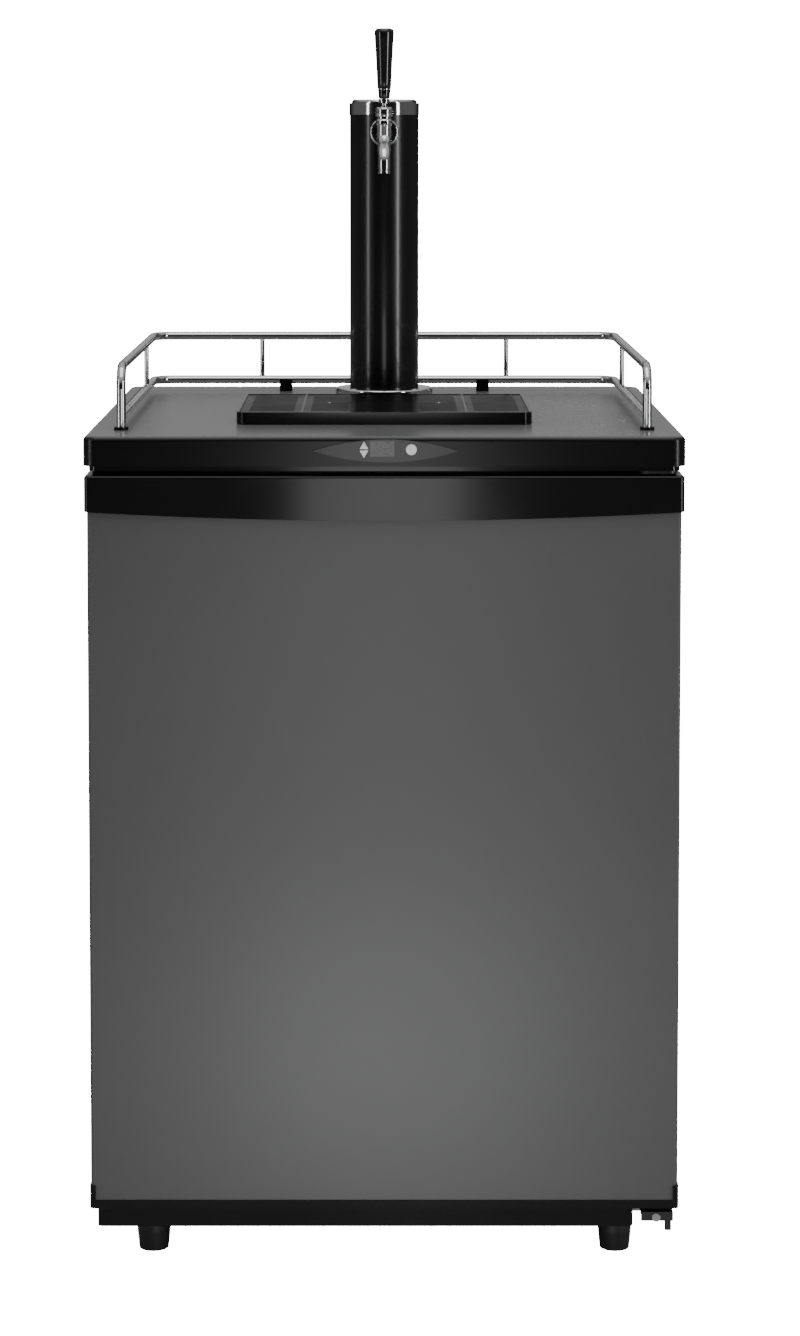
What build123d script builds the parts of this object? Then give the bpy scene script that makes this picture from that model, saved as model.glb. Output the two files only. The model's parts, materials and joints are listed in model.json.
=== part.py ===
from build123d import *
import os
from math import cos, radians, sin

os.makedirs("parts", exist_ok=True)

# A free-standing draught beer cooler: an insulated cabinet with one door, a worktop with a guard
# rail and drip tray, and a single-tap tower. Millimetres, +Z up, front face towards -Y,
# origin at the middle of the footprint on the floor.

# Driving dimensions
CABINET_W = 580.0          # outside width of the steel wrapper
CABINET_FRONT = -244.0     # plane that the door gasket closes on
CABINET_BACK = 285.0
FOOT_H = 29.0
BASE_Z = 54.0              # underside of the floor pan
KICK_Z = 43.0              # lower edge of the kick plate
SHELL_TOP = 801.0
TOP_Z = 835.0              # worktop height
TOP_W = 590.0
TOP_FRONT = -303.0
TOP_BACK = 290.0
DOOR_FRONT = -300.0
DOOR_BACK = -255.0
DOOR_BOTTOM = 66.0
DOOR_TOP = 796.5
HINGE_X, HINGE_Y = 276.0, -283.0
CAVITY_HALF = 245.0        # half width of the keg space
CAVITY_FLOOR, CAVITY_CEIL = 95.0, 765.0
CAVITY_BACK = 250.0
HUMP_Y, HUMP_Z = 175.0, 330.0   # step in the cavity over the compressor bay
BAY_Y, BAY_Z = 203.0, 304.0     # the compressor bay, open to the back
TOWER_Y = 135.0
TOWER_D = 76.2
COLUMN_Z = 847.0
COLUMN_TOP = 1149.0
TAP_Z = 1130.0             # height of the shank
TAP_Y = 50.0               # centre of the tap's upright barrel
PIVOT_Z = 1154.0           # centre of the tap lever's ball
RAIL_X = 262.0
RAIL_FRONT, RAIL_BACK = -235.0, 225.0
RAIL_HIGH, RAIL_LOW = 898.0, 848.0
RAIL_R = 4.75
LINE_HOLE = 50.0           # hole for the beer line under the tower
GAS_X, GAS_Z = 150.0, 751.0

CORNER = (Align.MIN, Align.MIN, Align.MIN)
UPRIGHT = (Align.CENTER, Align.CENTER, Align.MIN)


def block(x0, x1, y0, y1, z0, z1, mode=Mode.ADD):
    """A box between two corners."""
    with Locations((x0, y0, z0)):
        Box(x1 - x0, y1 - y0, z1 - z0, align=CORNER, mode=mode)


def pin(x, y, z0, z1, radius, mode=Mode.ADD):
    """An upright cylinder."""
    with Locations((x, y, z0)):
        Cylinder(radius, z1 - z0, align=UPRIGHT, mode=mode)


def pin_y(x, z, y0, y1, radius, mode=Mode.ADD):
    """A cylinder that runs from front to back."""
    with Locations(Location((x, y0, z), (-90, 0, 0))):
        Cylinder(radius, y1 - y0, align=UPRIGHT, mode=mode)


def pin_x(y, z, x0, x1, radius, mode=Mode.ADD):
    """A cylinder that runs from left to right."""
    with Locations(Location((x0, y, z), (0, 90, 0))):
        Cylinder(radius, x1 - x0, align=UPRIGHT, mode=mode)


def save(piece, label):
    """Names a finished piece and writes it to its own file."""
    piece.label = label
    export_step(piece, f"parts/{label}.step")


# ---------------------------------------------------------------- cabinet

half = CABINET_W / 2

# Folded steel wrapper: two sides, the top, and flanges that frame the front opening.
with BuildPart() as cabinet_shell:
    block(-half, half, CABINET_FRONT, CABINET_BACK, BASE_Z, SHELL_TOP)
    block(-half + 1, half - 1, CABINET_FRONT + 1, CABINET_BACK + 1, BASE_Z - 1, SHELL_TOP - 1,
          Mode.SUBTRACT)
    block(-250, 250, CABINET_FRONT - 1, CABINET_FRONT + 2, 92, 769, Mode.SUBTRACT)
    pin(0, TOWER_Y, SHELL_TOP - 2, SHELL_TOP + 1, LINE_HOLE / 2, Mode.SUBTRACT)
save(cabinet_shell.part, "cabinet_shell")

# Back sheet, with the pan of the compressor bay folded into it.
BAY_X = CAVITY_HALF
with BuildPart() as back_panel:
    block(-288.8, 288.8, CABINET_BACK - 1, CABINET_BACK, BASE_Z + 2.2, SHELL_TOP - 1.2)
    block(-BAY_X - 1, BAY_X + 1, BAY_Y, CABINET_BACK, BASE_Z + 2.2, BAY_Z + 1)
    block(-BAY_X, BAY_X, BAY_Y + 1, CABINET_BACK + 1, BASE_Z + 1, BAY_Z, Mode.SUBTRACT)
    pin_y(GAS_X, GAS_Z, CABINET_BACK - 2, CABINET_BACK + 1, 10.2, Mode.SUBTRACT)
save(back_panel.part, "back_panel")

# Foam walls, in slabs round the liner with a square passage for the beer line and the gas line.
SIDE_IN = CAVITY_HALF + 1.4
FOAM_FRONT = CABINET_FRONT + 1.2
FOAM_BACK = CABINET_BACK - 1.2
GAP = 0.4
with BuildPart() as insulation:
    for side in (-1, 1):
        inner, outer = sorted((side * SIDE_IN, side * (half - 1.2)))
        block(inner, outer, FOAM_FRONT, FOAM_BACK, BASE_Z + 2.4, SHELL_TOP - 1.2)
    span = SIDE_IN - GAP
    ceiling = CAVITY_CEIL + 1.4
    hole = LINE_HOLE / 2 + 1
    block(-span, span, FOAM_FRONT, TOWER_Y - hole, ceiling, SHELL_TOP - 1.2)
    block(-span, -hole, TOWER_Y - hole + GAP, TOWER_Y + hole - GAP, ceiling, SHELL_TOP - 1.2)
    block(hole, span, TOWER_Y - hole + GAP, TOWER_Y + hole - GAP, ceiling, SHELL_TOP - 1.2)
    block(-span, span, TOWER_Y + hole, FOAM_BACK, ceiling, SHELL_TOP - 1.2)
    back = CAVITY_BACK + 1.4
    port = 10.4
    block(-span, GAS_X - port, back, FOAM_BACK, BAY_Z + 1.2, ceiling - GAP)
    block(GAS_X + port, span, back, FOAM_BACK, BAY_Z + 1.2, ceiling - GAP)
    block(GAS_X - port + GAP, GAS_X + port - GAP, back, FOAM_BACK, BAY_Z + 1.2, GAS_Z - port)
    block(GAS_X - port + GAP, GAS_X + port - GAP, back, FOAM_BACK, GAS_Z + port, ceiling - GAP)
    block(-span, span, HUMP_Y + 1.4, back - GAP, BAY_Z + 1.2, HUMP_Z - 1.4)
    block(-span, span, HUMP_Y + 1.4, BAY_Y - 0.2, CAVITY_FLOOR - 1, BAY_Z + 0.8)
    block(-span, span, FOAM_FRONT, BAY_Y - 0.2, BASE_Z + 2.4, CAVITY_FLOOR - 1.4)
save(insulation.part, "insulation")

# Moulded plastic lining of the keg space, stepped over the compressor bay.
with BuildPart() as inner_liner:
    wall = 1.2
    block(-CAVITY_HALF - wall, CAVITY_HALF + wall, CABINET_FRONT + 1.1, HUMP_Y + wall,
          CAVITY_FLOOR - wall, CAVITY_CEIL + wall)
    block(-CAVITY_HALF - wall, CAVITY_HALF + wall, HUMP_Y, CAVITY_BACK + wall,
          HUMP_Z - wall, CAVITY_CEIL + wall)
    block(-CAVITY_HALF, CAVITY_HALF, CABINET_FRONT, HUMP_Y, CAVITY_FLOOR, CAVITY_CEIL,
          Mode.SUBTRACT)
    block(-CAVITY_HALF, CAVITY_HALF, HUMP_Y - 1, CAVITY_BACK, HUMP_Z, CAVITY_CEIL, Mode.SUBTRACT)
    pin(0, TOWER_Y, CAVITY_CEIL - 1, CAVITY_CEIL + 2, LINE_HOLE / 2, Mode.SUBTRACT)
    pin_y(GAS_X, GAS_Z, CAVITY_BACK - 1, CAVITY_BACK + 2, 10.2, Mode.SUBTRACT)
save(inner_liner.part, "inner_liner")

# Wire-reinforced plate that spreads the keg's weight on the cavity floor.
with BuildPart() as keg_floor_plate:
    block(-212, 212, -238, 172, CAVITY_FLOOR + 0.1, CAVITY_FLOOR + 2.1)
    fillet(keg_floor_plate.edges().filter_by(Axis.Z), 18)
    with Locations((0, -33, CAVITY_FLOOR + 2.1)):
        with GridLocations(0, 70, 1, 5):
            Box(380, 8, 1.6, align=UPRIGHT)
save(keg_floor_plate.part, "keg_floor_plate")

# Floor pan with a cross member at each end that takes the levelling feet.
FOOT_X, FOOT_Y = 234.0, (-225.0, 200.0)
with BuildPart() as base_frame:
    block(-288.8, 288.8, CABINET_FRONT + 1.2, CABINET_BACK, BASE_Z, BASE_Z + 2)
    for y in FOOT_Y:
        block(-286, 286, y - 16, y + 16, BASE_Z - 12, BASE_Z)
    for y in FOOT_Y:
        for x in (-FOOT_X, FOOT_X):
            pin(x, y, BASE_Z - 13, BASE_Z - 0.5, 4.06, Mode.SUBTRACT)
save(base_frame.part, "base_frame")

# Four levelling feet: a tapered foot on a threaded stem.
for row, y in zip(("front", "rear"), FOOT_Y):
    for side, x in (("left", -FOOT_X), ("right", FOOT_X)):
        with BuildPart() as foot:
            with BuildSketch(Plane.XY):
                with Locations((x, y)):
                    Circle(15)
            with BuildSketch(Plane.XY.offset(5)):
                with Locations((x, y)):
                    Circle(15.6)
            with BuildSketch(Plane.XY.offset(FOOT_H - 9)):
                with Locations((x, y)):
                    Circle(17)
            loft(ruled=True)
            pin(x, y, FOOT_H - 9, FOOT_H, 17)
            chamfer(foot.edges().group_by(Axis.Z)[-1], 1.5)
            pin(x, y, FOOT_H, BASE_Z - 1.2, 4)
            pin(x, y, FOOT_H, FOOT_H + 4.5, 7.5)
        save(foot.part, f"foot_{row}_{side}")

# Moulded kick plate under the door, notched at the right for the lower hinge.
with BuildPart() as kick_plate:
    block(-285.6, 248, -288, CABINET_FRONT - 0.2, KICK_Z, DOOR_BOTTOM - 0.6)
    fillet(kick_plate.edges().filter_by(Axis.Z).group_by(Axis.Y)[0], 6)
    block(-282.6, 245, -285, CABINET_FRONT + 1, KICK_Z - 1, DOOR_BOTTOM - 3.2, Mode.SUBTRACT)
save(kick_plate.part, "kick_plate")

# ---------------------------------------------------------------- door

# Painted steel skin, folded back along both sides.
SKIN = 0.8
with BuildPart() as door_skin:
    with BuildSketch(Plane.XY.offset(74.2)):
        with BuildLine():
            side, front = 291 - SKIN / 2, DOOR_FRONT + SKIN / 2
            FilletPolyline((-side, -256), (-side, front), (side, front), (side, -256), radius=2.6)
        trace(line_width=SKIN)
    extrude(amount=708.8)
save(door_skin.part, "door_skin")

with BuildPart() as door_foam:
    block(-290, 290, DOOR_FRONT + 1, -258.2, 74.4, 782.6)
    fillet(door_foam.edges().filter_by(Axis.Z).group_by(Axis.Y)[0], 2.4)
save(door_foam.part, "door_foam")

# Plastic inner panel with a raised rim inside the gasket.
with BuildPart() as door_liner:
    block(-289, 289, -258, DOOR_BACK, 74.4, 789.6)
    block(-240, 240, DOOR_BACK, -247, 100, 760)
    fillet(door_liner.edges().filter_by(Axis.Y).group_by(Axis.Z)[1:-1], 8)
    block(-226, 226, -256.6, -246, 114, 746, Mode.SUBTRACT)
save(door_liner.part, "door_liner")

# Moulded top trim with an arched lower edge and a finger recess in its top.
with BuildPart() as door_top_trim:
    with BuildSketch(Plane.XZ.offset(-DOOR_BACK)):
        with BuildLine():
            ends = [(-293.5, 761), (293.5, 761)]
            ThreePointArc(ends[0], (0, 752.5), ends[1])
            Polyline(ends[1], (293.5, DOOR_TOP), (-293.5, DOOR_TOP), ends[0])
        make_face()
    extrude(amount=50)
    fillet(door_top_trim.edges().filter_by(Axis.Z).group_by(Axis.Y)[0], 5)
    fillet(door_top_trim.faces().sort_by(Axis.Z)[-1].edges().group_by(Axis.Y)[0], 2.5)
    block(-291.2, 291.2, DOOR_FRONT - 0.2, DOOR_BACK + 1, 700, 783.2, Mode.SUBTRACT)
    block(-289.2, 289.2, -258.2, DOOR_BACK + 1, 700, 789.8, Mode.SUBTRACT)
    block(-60, 60, -296, -276, 786, DOOR_TOP + 1, Mode.SUBTRACT)
    pin(HINGE_X, HINGE_Y, 784, DOOR_TOP + 1, 6, Mode.SUBTRACT)
save(door_top_trim.part, "door_top_trim")

# Bottom trim, with a small ear up each front corner.
with BuildPart() as door_bottom_trim:
    block(-292, 292, -302, DOOR_BACK, DOOR_BOTTOM, 89)
    fillet(door_bottom_trim.edges().filter_by(Axis.Z).group_by(Axis.Y)[0], 4)
    block(-291.2, 291.2, DOOR_FRONT - 0.2, DOOR_BACK + 1, 74, 90, Mode.SUBTRACT)
    block(-286, 286, -303, DOOR_FRONT + 1, 74, 90, Mode.SUBTRACT)
    block(-293, 293, -290, DOOR_BACK + 1, 74, 90, Mode.SUBTRACT)
    pin(HINGE_X, HINGE_Y, DOOR_BOTTOM - 1, 90, 6, Mode.SUBTRACT)
save(door_bottom_trim.part, "door_bottom_trim")

with BuildPart() as door_gasket:
    block(-270, 270, DOOR_BACK, -251, 78, 785)
    block(-268, 268, -251, CABINET_FRONT - 0.5, 80, 783)
    fillet(door_gasket.edges().filter_by(Axis.Y), 6)
    block(-252, 252, DOOR_BACK - 1, CABINET_FRONT, 91, 770, Mode.SUBTRACT)
save(door_gasket.part, "door_gasket")

# Bushes that turn on the hinge pins.
with BuildPart() as hinge_bushes:
    pin(HINGE_X, HINGE_Y, 784.2, 795.5, 6)
    pin(HINGE_X, HINGE_Y, DOOR_BOTTOM + 0.2, 74, 6)
    pin(HINGE_X, HINGE_Y, 60, 800, 3.06, Mode.SUBTRACT)
save(hinge_bushes.part, "hinge_bushes")

# Upper hinge bracket under the worktop's overhang, with its pin.
with BuildPart() as upper_hinge_bracket:
    block(250, 287, -297, CABINET_FRONT, 797.8, 800.4)
    fillet(upper_hinge_bracket.edges().filter_by(Axis.Z).group_by(Axis.Y)[0], 8)
    block(250, 287, CABINET_FRONT - 2, CABINET_FRONT, 787, 797.8)
    pin(HINGE_X, HINGE_Y, 785.5, 797.8, 3)
save(upper_hinge_bracket.part, "upper_hinge_bracket")

# Lower hinge bracket with its pin, a turned-down lip and a stop tongue.
with BuildPart() as lower_hinge_bracket:
    block(255, 287, -298, CABINET_FRONT, 58, 61)
    block(255, 287, -298, -295.5, 52, 61)
    block(278.5, 285, -298, -295.5, 42.5, 52)
    block(255, 287, CABINET_FRONT - 2.5, CABINET_FRONT, 61, 76)
    pin(HINGE_X, HINGE_Y, 61, 73, 3)
    pin_y(270, 56, -299, -295, 2.1, Mode.SUBTRACT)
save(lower_hinge_bracket.part, "lower_hinge_bracket")

# ---------------------------------------------------------------- worktop and controls

PANEL_Y = TOP_FRONT - 1.4          # face of the control bezel
UP_Z, DOWN_Z = 822.9, 821.5        # bases of the two triangular keys
KEY_X, KEY_W, KEY_H = -19.8, 8.4, 7.4
DISPLAY = (-14.0, 10.0, 815.4, 830.6)
POWER_X, POWER_Z, POWER_R = 26.4, 822.2, 5.3


def triangle(base_z, height, grow):
    """Sketch points of a triangular key, grown all round for its hole."""
    way = 1 if height > 0 else -1
    low, tip = base_z - way * grow, base_z + height + way * grow * 2.2
    reach = KEY_W / 2 + grow * 1.7
    return [(KEY_X - reach, low), (KEY_X + reach, low), (KEY_X, tip)]


def key_prism(base_z, height, grow, y0, y1, mode=Mode.ADD):
    """A triangular key or its hole, between two planes along Y."""
    with BuildSketch(Plane.XZ.offset(-y1)) as outline:
        with BuildLine():
            Polyline(*triangle(base_z, height, grow), close=True)
        make_face()
    extrude(outline.sketch, amount=y1 - y0, mode=mode)


# Moulded worktop with a deep front frame, hollow underneath.
with BuildPart() as worktop:
    block(-TOP_W / 2, TOP_W / 2, TOP_FRONT, TOP_BACK, 805.5, TOP_Z)
    fillet(worktop.edges().filter_by(Axis.Z), 14)
    fillet(worktop.faces().sort_by(Axis.Z)[-1].edges(), 5)
    block(-288, 288, CABINET_FRONT + 4, CABINET_BACK - 3, SHELL_TOP + 0.2, 805.5)
    block(-284, 284, CABINET_FRONT + 8, CABINET_BACK - 7, SHELL_TOP, 829, Mode.SUBTRACT)
    block(-280, 280, -299, CABINET_FRONT - 2, 805, 831, Mode.SUBTRACT)
    pin(0, TOWER_Y, 828, TOP_Z + 1, LINE_HOLE / 2, Mode.SUBTRACT)
    key_prism(UP_Z, KEY_H, 0.4, TOP_FRONT - 1, -298, Mode.SUBTRACT)
    key_prism(DOWN_Z, -KEY_H, 0.4, TOP_FRONT - 1, -298, Mode.SUBTRACT)
    block(DISPLAY[0] + 1, DISPLAY[1] - 1, TOP_FRONT - 1, -298, DISPLAY[2] + 1, DISPLAY[3] - 1,
          Mode.SUBTRACT)
    pin_y(POWER_X, POWER_Z, TOP_FRONT - 1, -298, POWER_R + 0.35, Mode.SUBTRACT)
save(worktop.part, "worktop")

# Cover that closes the front frame from below and carries the wiring.
with BuildPart() as frame_underplate:
    block(-289.5, 289.5, -298, CABINET_FRONT - 0.2, 800.6, 805.3)
    fillet(frame_underplate.edges().filter_by(Axis.Z).group_by(Axis.Y)[0], 10)
save(frame_underplate.part, "frame_underplate")

# Eye-shaped bezel of the control panel.
with BuildPart() as control_bezel:
    with BuildSketch(Plane.XZ.offset(-TOP_FRONT)):
        with BuildLine():
            ThreePointArc((-70, 821), (1.5, 832.2), (73, 821))
            ThreePointArc((73, 821), (1.5, 809.8), (-70, 821))
        make_face()
    extrude(amount=TOP_FRONT - PANEL_Y)
    key_prism(UP_Z, KEY_H, 0.4, PANEL_Y - 1, TOP_FRONT + 1, Mode.SUBTRACT)
    key_prism(DOWN_Z, -KEY_H, 0.4, PANEL_Y - 1, TOP_FRONT + 1, Mode.SUBTRACT)
    block(DISPLAY[0] - 0.1, DISPLAY[1] + 0.1, PANEL_Y - 1, TOP_FRONT + 1,
          DISPLAY[2] - 0.1, DISPLAY[3] + 0.1, Mode.SUBTRACT)
    pin_y(POWER_X, POWER_Z, PANEL_Y - 1, TOP_FRONT + 1, POWER_R + 0.35, Mode.SUBTRACT)
save(control_bezel.part, "control_bezel")

with BuildPart() as display_window:
    block(DISPLAY[0], DISPLAY[1], PANEL_Y - 0.1, TOP_FRONT, DISPLAY[2], DISPLAY[3])
save(display_window.part, "display_window")

with BuildPart() as up_button:
    key_prism(UP_Z, KEY_H, 0, -305, -296.6)
save(up_button.part, "up_button")

with BuildPart() as down_button:
    key_prism(DOWN_Z, -KEY_H, 0, -305, -296.6)
save(down_button.part, "down_button")

with BuildPart() as power_button:
    pin_y(POWER_X, POWER_Z, -305, -296.6, POWER_R)
    fillet(power_button.edges().group_by(Axis.Y)[0], 0.5)
save(power_button.part, "power_button")

with BuildPart() as control_board:
    block(-58, 62, -293.6, -292, 808, 829)
    block(-14, 10, -298.6, -293.6, 815.6, 828.8)
    for x, z in ((KEY_X, 826), (KEY_X, 818), (POWER_X, POWER_Z)):
        block(x - 3, x + 3, -294.4, -293.6, z - 2.5, z + 2.5)
    for x in (40, 50):
        block(x - 3, x + 3, -292, -286, 812, 824)
save(control_board.part, "control_board")

# ---------------------------------------------------------------- guard rail

TUBE = 2 * RAIL_R

# Upper tube: front legs, side runs and back run in one bent length.
with BuildPart() as rail_upper_tube:
    with BuildLine() as bends:
        FilletPolyline(
            (-RAIL_X, RAIL_FRONT, TOP_Z),
            (-RAIL_X, RAIL_FRONT, RAIL_HIGH),
            (-RAIL_X, RAIL_BACK, RAIL_HIGH),
            (RAIL_X, RAIL_BACK, RAIL_HIGH),
            (RAIL_X, RAIL_FRONT, RAIL_HIGH),
            (RAIL_X, RAIL_FRONT, TOP_Z),
            radius=22,
        )
    with BuildSketch(Plane.XY.offset(TOP_Z)):
        with Locations((-RAIL_X, RAIL_FRONT)):
            Circle(RAIL_R)
    sweep(path=bends.line)
save(rail_upper_tube.part, "rail_upper_tube")

# Lower tube, welded between the two front legs.
with BuildPart() as rail_lower_tube:
    with BuildLine() as bends:
        FilletPolyline(
            (-RAIL_X, RAIL_FRONT, RAIL_LOW),
            (-RAIL_X, RAIL_BACK, RAIL_LOW),
            (RAIL_X, RAIL_BACK, RAIL_LOW),
            (RAIL_X, RAIL_FRONT, RAIL_LOW),
            radius=22,
        )
    with BuildSketch(Plane.XZ.offset(-RAIL_FRONT)):
        with Locations((-RAIL_X, RAIL_LOW)):
            Circle(RAIL_R)
    sweep(path=bends.line)
    for x in (-RAIL_X, RAIL_X):
        pin(x, RAIL_FRONT, RAIL_LOW - 10, RAIL_LOW + 10, RAIL_R, Mode.SUBTRACT)
save(rail_lower_tube.part, "rail_lower_tube")

# Thin posts between the tubes: two at the back and one on each side.
POSTS = ((-139, RAIL_BACK), (139, RAIL_BACK), (-RAIL_X, 104), (RAIL_X, 104))
with BuildPart() as rail_posts:
    for x, y in POSTS:
        pin(x, y, RAIL_LOW, RAIL_HIGH, 2.75)
    add(rail_upper_tube.part, mode=Mode.SUBTRACT)
    add(rail_lower_tube.part, mode=Mode.SUBTRACT)
save(rail_posts.part, "rail_posts")

# Saddles that carry the lower tube at the back, and a collar round each front leg.
with BuildPart() as rail_saddles:
    for x in (-112, 112):
        block(x - 7, x + 7, RAIL_BACK - 7, RAIL_BACK + 7, TOP_Z, RAIL_LOW + 1)
    add(rail_lower_tube.part, mode=Mode.SUBTRACT)
    for x in (-RAIL_X, RAIL_X):
        pin(x, RAIL_FRONT, TOP_Z, TOP_Z + 3, 7.2)
        pin(x, RAIL_FRONT, TOP_Z - 1, TOP_Z + 4, RAIL_R, Mode.SUBTRACT)
save(rail_saddles.part, "rail_saddles")

# ---------------------------------------------------------------- drip tray

TRAY = (-150.0, 150.0, -183.0, 35.0)
TRAY_Z = TOP_Z + 0.4
TRAY_H = 12.3
with BuildPart() as drip_tray:
    block(*TRAY, TRAY_Z, TRAY_Z + TRAY_H)
    fillet(drip_tray.edges().filter_by(Axis.Z), 11)
    block(TRAY[0] + 3, TRAY[1] - 3, TRAY[2] + 3, TRAY[3] - 3, TRAY_Z + 8.6, TRAY_Z + TRAY_H + 1,
          Mode.SUBTRACT)
    block(TRAY[0] + 8, TRAY[1] - 8, TRAY[2] + 8, TRAY[3] - 8, TRAY_Z + 1.8, TRAY_Z + 9,
          Mode.SUBTRACT)
save(drip_tray.part, "drip_tray")

# Lift-out grille in one moulding: three fields of slots between plain ribs, and two hand slots.
with BuildPart() as drip_grille:
    low = TRAY_Z + 8.9
    block(TRAY[0] + 3.4, TRAY[1] - 3.4, TRAY[2] + 3.4, TRAY[3] - 3.4, low, low + 2.6)
    fillet(drip_grille.edges().filter_by(Axis.Z), 7)
    with Locations((0, (TRAY[2] + TRAY[3]) / 2, low)):
        with Locations((-115, 0), (115, 0)):
            with GridLocations(0, 10, 1, 18):
                Box(46, 4, 8, align=(Align.CENTER, Align.CENTER, Align.CENTER), mode=Mode.SUBTRACT)
        with GridLocations(0, 10, 1, 18):
            Box(60, 4, 8, align=(Align.CENTER, Align.CENTER, Align.CENTER), mode=Mode.SUBTRACT)
        with Locations((-56, 0), (56, 0)):
            with GridLocations(0, 10, 1, 18):
                Box(38, 4, 8, align=(Align.CENTER, Align.CENTER, Align.CENTER), mode=Mode.SUBTRACT)
save(drip_grille.part, "drip_grille")

# ---------------------------------------------------------------- tower

COLUMN_R = TOWER_D / 2
with BuildPart() as tower_gasket:
    pin(0, TOWER_Y, TOP_Z, TOP_Z + 2, 54.5)
    pin(0, TOWER_Y, TOP_Z - 1, TOP_Z + 3, 26, Mode.SUBTRACT)
save(tower_gasket.part, "tower_gasket")

SCREW_R = 47.0
with BuildPart() as tower_flange:
    pin(0, TOWER_Y, TOP_Z + 2, COLUMN_Z, 54)
    fillet(tower_flange.edges().group_by(Axis.Z)[-1], 2)
    pin(0, TOWER_Y, COLUMN_Z - 1, COLUMN_Z + 8, COLUMN_R - 1.7)
    pin(0, TOWER_Y, TOP_Z, COLUMN_Z + 9, 26, Mode.SUBTRACT)
    with Locations((0, TOWER_Y, COLUMN_Z - 2.4)):
        with PolarLocations(SCREW_R, 4, 45):
            Cylinder(4.2, 6, align=UPRIGHT, mode=Mode.SUBTRACT)
save(tower_flange.part, "tower_flange")

# Screws of the tower flange and of both hinge brackets.
with BuildPart() as screws:
    with Locations((0, TOWER_Y, COLUMN_Z - 2.4)):
        with PolarLocations(SCREW_R, 4, 45):
            Cylinder(4.0, 3, align=UPRIGHT)
    fillet(screws.edges().group_by(Axis.Z)[-1], 1)
    with Locations((0, TOWER_Y, COLUMN_Z - 1)):
        with PolarLocations(SCREW_R, 4, 45):
            Box(5, 1, 4, align=UPRIGHT, mode=Mode.SUBTRACT)
            Box(1, 5, 4, align=UPRIGHT, mode=Mode.SUBTRACT)
    for x in (258, 279):
        pin_y(x, 792, -248.2, -246.1, 4)
        pin_y(x, 68.5, -248.7, -246.6, 4)
    pin_y(270, 56, -300.4, -298.1, 4.2)
    pin_y(270, 56, -298.1, -292, 2)
save(screws.part, "screws")

with BuildPart() as tower_column:
    pin(0, TOWER_Y, COLUMN_Z, COLUMN_TOP, COLUMN_R)
    pin(0, TOWER_Y, COLUMN_Z - 1, COLUMN_TOP + 1, COLUMN_R - 1.5, Mode.SUBTRACT)
    pin_y(0, TAP_Z, 80, TOWER_Y, 11.2, Mode.SUBTRACT)
save(tower_column.part, "tower_column")

with BuildPart() as tower_cap:
    pin(0, TOWER_Y, COLUMN_TOP, COLUMN_TOP + 13, COLUMN_R + 0.6)
    with Locations((0, TOWER_Y, COLUMN_TOP + 12)):
        Cylinder(COLUMN_R - 2, 5, align=UPRIGHT)
    fillet(tower_cap.edges().group_by(Axis.Z)[-1], 3.5)
    pin(0, TOWER_Y, COLUMN_TOP - 5, COLUMN_TOP, COLUMN_R - 1.7)
    pin(0, TOWER_Y, COLUMN_TOP - 10, COLUMN_TOP + 11, COLUMN_R - 4, Mode.SUBTRACT)
save(tower_cap.part, "tower_cap")

# ---------------------------------------------------------------- tap

COLUMN_FRONT = TOWER_Y - COLUMN_R
# Threaded shank through the column wall.
with BuildPart() as shank:
    pin_y(0, TAP_Z, 79, 137, 11)
    pin_y(0, TAP_Z, 137, 143, 8)
    pin_y(0, TAP_Z, 78, 144, 4.2, Mode.SUBTRACT)
save(shank.part, "shank")

# Collar that seats the shank against the round column.
with BuildPart() as shank_collar:
    pin_y(0, TAP_Z, 86, 104, 15)
    fillet(shank_collar.edges().group_by(Axis.Y)[0], 1.5)
    pin_y(0, TAP_Z, 85, 105, 11.05, Mode.SUBTRACT)
    pin(0, TOWER_Y, TAP_Z - 30, TAP_Z + 30, COLUMN_R + 0.02, Mode.SUBTRACT)
save(shank_collar.part, "shank_collar")

with BuildPart() as shank_nut:
    with BuildSketch(Plane.XZ.offset(-120)):
        with Locations((0, TAP_Z)):
            RegularPolygon(17, 6)
    extrude(amount=8)
    pin_y(0, TAP_Z, 110, 122, 11.05, Mode.SUBTRACT)
save(shank_nut.part, "shank_nut")

# Elbow that turns the beer line down inside the tower.
with BuildPart() as tail_elbow:
    with BuildLine() as bend:
        FilletPolyline((0, 143.1, TAP_Z), (0, 156, TAP_Z), (0, 156, TAP_Z - 34), radius=10)
    with BuildSketch(Plane.XZ.offset(-143.1)):
        with Locations((0, TAP_Z)):
            Circle(5)
            Circle(3.2, mode=Mode.SUBTRACT)
    sweep(path=bend.line)
save(tail_elbow.part, "tail_elbow")

# Coupling nut with spanner holes.
with BuildPart() as coupling_nut:
    pin_y(0, TAP_Z, 62, 80, 15.5)
    fillet(coupling_nut.edges().group_by(Axis.Y)[0], 2)
    pin_y(0, TAP_Z, 61, 81, 11.06, Mode.SUBTRACT)
    with Locations(Location((0, 71, TAP_Z), (-90, 0, 0))):
        with PolarLocations(15.5, 6, 30):
            Cylinder(2.2, 7, rotation=(0, 90, 0), mode=Mode.SUBTRACT)
save(coupling_nut.part, "coupling_nut")

SPOUT_TIP = 1086.0
SPOUT_Y = 18.0
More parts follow.
